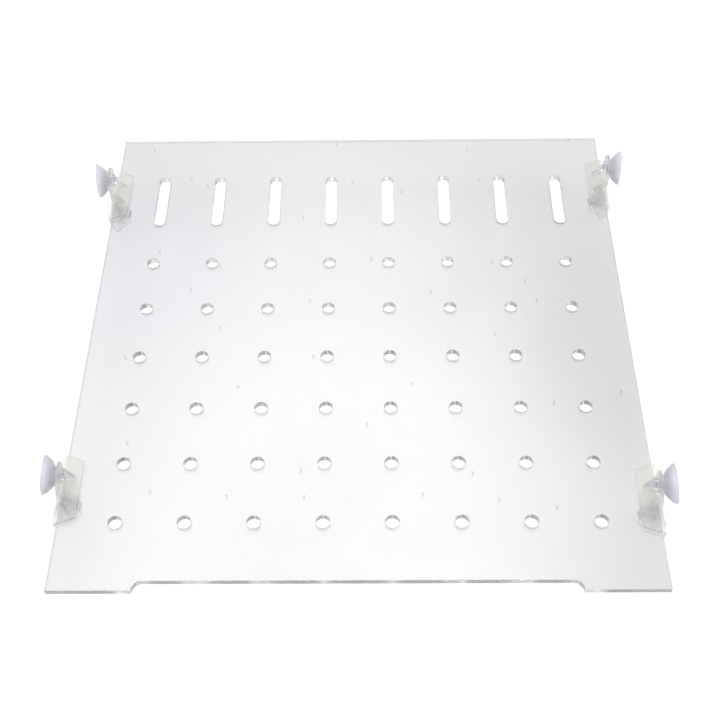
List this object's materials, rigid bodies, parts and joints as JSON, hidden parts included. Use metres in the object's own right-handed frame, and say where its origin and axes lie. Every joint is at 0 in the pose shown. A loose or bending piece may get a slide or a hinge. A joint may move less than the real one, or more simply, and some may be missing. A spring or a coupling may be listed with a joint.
{
  "type": "aquarium divider",
  "caption": "Clear drilled and slotted acrylic sheet with a notched foot, held between two tank walls by sliding edge clips that carry suction cups.",
  "frame": {"origin": "Under the middle of the sheet, at the level that the lower suction cups rest on", "axes": "+Z is the sheet's normal, +Y runs along the sheet from the notched end to the slotted end, +X runs across it towards the right-hand clips"},
  "size_m": [0.4414, 0.437, 0.0739],
  "materials": {
    "acrylic": "polished clear",
    "clip_plastic": "satin, milky translucent",
    "soft_plastic": "glossy, soft, bluish clear"
  },
  "bodies": {
    "sheet": {"divider_sheet": "acrylic"},
    "clip_top_left": {"clip_top_left": "clip_plastic"},
    "clip_top_right": {"clip_top_right": "clip_plastic"},
    "clip_bottom_left": {"clip_bottom_left": "clip_plastic"},
    "clip_bottom_right": {"clip_bottom_right": "clip_plastic"},
    "cup_top_left_upper": {"cup_top_left_upper": "soft_plastic"},
    "cup_top_left_lower": {"cup_top_left_lower": "soft_plastic"},
    "cup_top_right_upper": {"cup_top_right_upper": "soft_plastic"},
    "cup_top_right_lower": {"cup_top_right_lower": "soft_plastic"},
    "cup_bottom_left_upper": {"cup_bottom_left_upper": "soft_plastic"},
    "cup_bottom_left_lower": {"cup_bottom_left_lower": "soft_plastic"},
    "cup_bottom_right_upper": {"cup_bottom_right_upper": "soft_plastic"},
    "cup_bottom_right_lower": {"cup_bottom_right_lower": "soft_plastic"}
  },
  "joints": [
    {"name": "top_left_slide", "type": "slide", "parent": "sheet", "child": "clip_top_left", "axis": [0, 1, 0], "range_m": [-0.11, 0.04]},
    {"name": "top_right_slide", "type": "slide", "parent": "sheet", "child": "clip_top_right", "axis": [0, 1, 0], "range_m": [-0.11, 0.029]},
    {"name": "bottom_left_slide", "type": "slide", "parent": "sheet", "child": "clip_bottom_left", "axis": [0, 1, 0], "range_m": [-0.049, 0.11]},
    {"name": "bottom_right_slide", "type": "slide", "parent": "sheet", "child": "clip_bottom_right", "axis": [0, 1, 0], "range_m": [-0.04, 0.11]},
    {"name": "top_left_upper_spin", "type": "hinge", "parent": "clip_top_left", "child": "cup_top_left_upper", "pos_m": [-0.2093, 0.15, 0.05878], "axis": [-0.9945, -0.1045, 0], "continuous": true},
    {"name": "top_left_lower_spin", "type": "hinge", "parent": "clip_top_left", "child": "cup_top_left_lower", "pos_m": [-0.20405, 0.15, 0.01647], "axis": [-0.9563, 0, -0.2924], "continuous": true},
    {"name": "top_right_upper_spin", "type": "hinge", "parent": "clip_top_right", "child": "cup_top_right_upper", "pos_m": [0.2093, 0.161, 0.05878], "axis": [0.9945, -0.1045, 0], "continuous": true},
    {"name": "top_right_lower_spin", "type": "hinge", "parent": "clip_top_right", "child": "cup_top_right_lower", "pos_m": [0.20405, 0.161, 0.01647], "axis": [0.9563, 0, -0.2924], "continuous": true},
    {"name": "bottom_left_upper_spin", "type": "hinge", "parent": "clip_bottom_left", "child": "cup_bottom_left_upper", "pos_m": [-0.20679, -0.141, 0.05847], "axis": [-0.9903, 0, 0.1392], "continuous": true},
    {"name": "bottom_left_lower_spin", "type": "hinge", "parent": "clip_bottom_left", "child": "cup_bottom_left_lower", "pos_m": [-0.20405, -0.141, 0.01647], "axis": [-0.9563, 0, -0.2924], "continuous": true},
    {"name": "bottom_right_upper_spin", "type": "hinge", "parent": "clip_bottom_right", "child": "cup_bottom_right_upper", "pos_m": [0.2071, -0.15, 0.05853], "axis": [0.9925, 0, 0.1219], "continuous": true},
    {"name": "bottom_right_lower_spin", "type": "hinge", "parent": "clip_bottom_right", "child": "cup_bottom_right_lower", "pos_m": [0.20405, -0.15, 0.01647], "axis": [0.9563, 0, -0.2924], "continuous": true}
  ]
}
